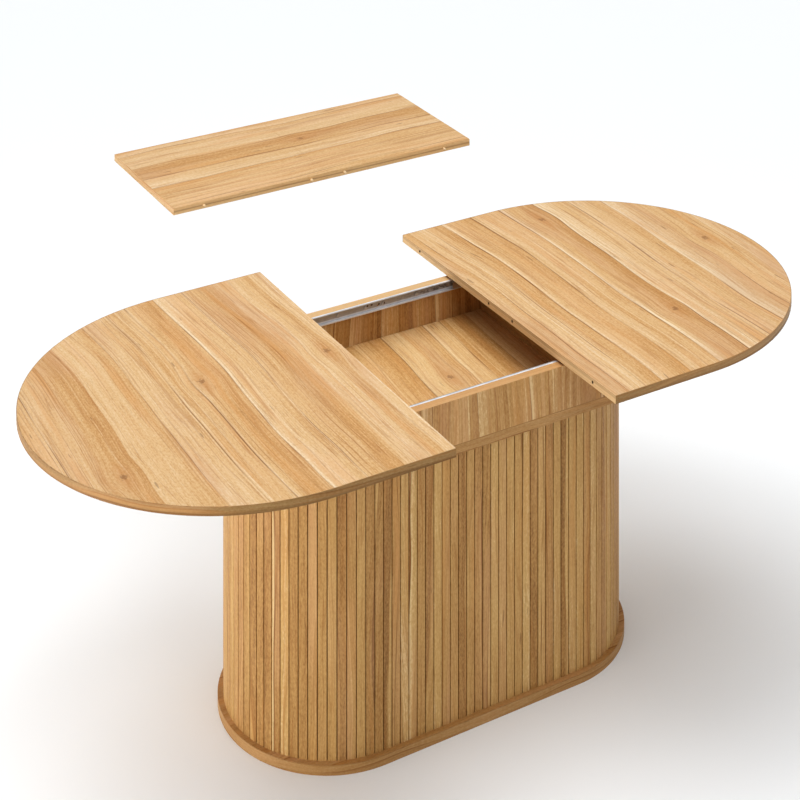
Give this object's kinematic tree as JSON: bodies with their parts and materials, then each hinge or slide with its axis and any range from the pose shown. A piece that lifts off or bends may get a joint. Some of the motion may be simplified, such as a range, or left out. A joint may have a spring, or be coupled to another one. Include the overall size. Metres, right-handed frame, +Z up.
{
  "type": "butterfly leaf table",
  "caption": "Oval dining table on a slatted pedestal; D-shaped tops slide apart over a storage box and a folding leaf fills the gap.",
  "frame": {"origin": "on the floor, under the middle of the plinth", "axes": "+X along the slides towards the right top, +Y towards the back where the loose leaf lies, +Z up"},
  "size_m": [1.904, 1.64, 0.795],
  "materials": {
    "top_veneer": "honey wood veneer, satin",
    "edge_veneer": "wood edge band, satin",
    "pedestal_board": "honey wood veneer, satin",
    "slat_wood": "honey wood slats, satin",
    "core_board": "raw board",
    "box_veneer": "honey wood veneer, satin",
    "box_floor_veneer": "honey wood veneer, satin",
    "dowel_wood": "bare beech",
    "slide_steel": "zinc plated",
    "cage_steel": "zinc plated",
    "ball_steel": "polished",
    "bracket_steel": "zinc plated",
    "screw_steel": "zinc plated",
    "hinge_steel": "brass plated"
  },
  "bodies": {
    "pedestal": {"plinth": "pedestal_board", "top_plate": "pedestal_board", "front_core": "core_board", "back_core": "core_board", "left_end_core": "core_board", "right_end_core": "core_board", "front_slats": "slat_wood", "back_slats": "slat_wood", "left_end_slats": "slat_wood", "right_end_slats": "slat_wood", "left_rib": "core_board", "right_rib": "core_board", "base_battens": "core_board", "head_battens": "core_board", "base_screws": "screw_steel", "head_screws": "screw_steel", "front_apron": "box_veneer", "back_apron": "box_veneer", "left_end_board": "box_veneer", "right_end_board": "box_veneer", "box_floor": "box_floor_veneer", "corner_dowels": "dowel_wood", "apron_dowels": "dowel_wood", "front_slide_channel": "slide_steel", "back_slide_channel": "slide_steel", "slide_screws": "screw_steel"},
    "left_top": {"left_top_panel": "top_veneer", "left_edge_band": "edge_veneer", "left_dowels": "dowel_wood", "left_front_runner": "slide_steel", "left_back_runner": "slide_steel", "left_brackets": "bracket_steel", "left_bracket_screws": "screw_steel", "left_rivets": "screw_steel"},
    "right_top": {"right_top_panel": "top_veneer", "right_edge_band": "edge_veneer", "right_front_runner": "slide_steel", "right_back_runner": "slide_steel", "right_brackets": "bracket_steel", "right_bracket_screws": "screw_steel", "right_rivets": "screw_steel"},
    "left_cage": {"left_cages": "cage_steel", "left_balls": "ball_steel"},
    "right_cage": {"right_cages": "cage_steel", "right_balls": "ball_steel"},
    "leaf_left": {"leaf_left_panel": "top_veneer", "leaf_left_dowels": "dowel_wood", "leaf_left_hinge_plates": "hinge_steel", "leaf_hinge_pins": "hinge_steel", "leaf_left_hinge_screws": "screw_steel"},
    "leaf_right": {"leaf_right_panel": "top_veneer", "leaf_right_dowels": "dowel_wood", "leaf_right_hinge_plates": "hinge_steel", "leaf_right_hinge_screws": "screw_steel"}
  },
  "joints": [
    {"name": "left_top_slide", "type": "slide", "parent": "pedestal", "child": "left_top", "axis": [1, 0, 0], "range_m": [-0.012, 0.20175]},
    {"name": "right_top_slide", "type": "slide", "parent": "pedestal", "child": "right_top", "axis": [-1, 0, 0], "range_m": [-0.012, 0.20175]},
    {"name": "left_cage_slide", "type": "slide", "parent": "pedestal", "child": "left_cage", "axis": [1, 0, 0], "range_m": [-0.0065, 0.1015]},
    {"name": "right_cage_slide", "type": "slide", "parent": "pedestal", "child": "right_cage", "axis": [-1, 0, 0], "range_m": [-0.0065, 0.1015]},
    {"name": "leaf_swing", "type": "hinge", "parent": "pedestal", "child": "leaf_left", "pos_m": [0.58, 0.41, 0.786], "axis": [0, 0, 1], "range_deg": [0, 90]},
    {"name": "leaf_fold", "type": "hinge", "parent": "leaf_left", "child": "leaf_right", "pos_m": [0.17, 0.99, 0.77685], "axis": [0, 1, 0], "range_deg": [0, 180]}
  ],
  "couplings": [
    {"joint": "left_cage_slide", "follows": "left_top_slide", "ratio": 0.5},
    {"joint": "right_cage_slide", "follows": "right_top_slide", "ratio": 0.5}
  ]
}
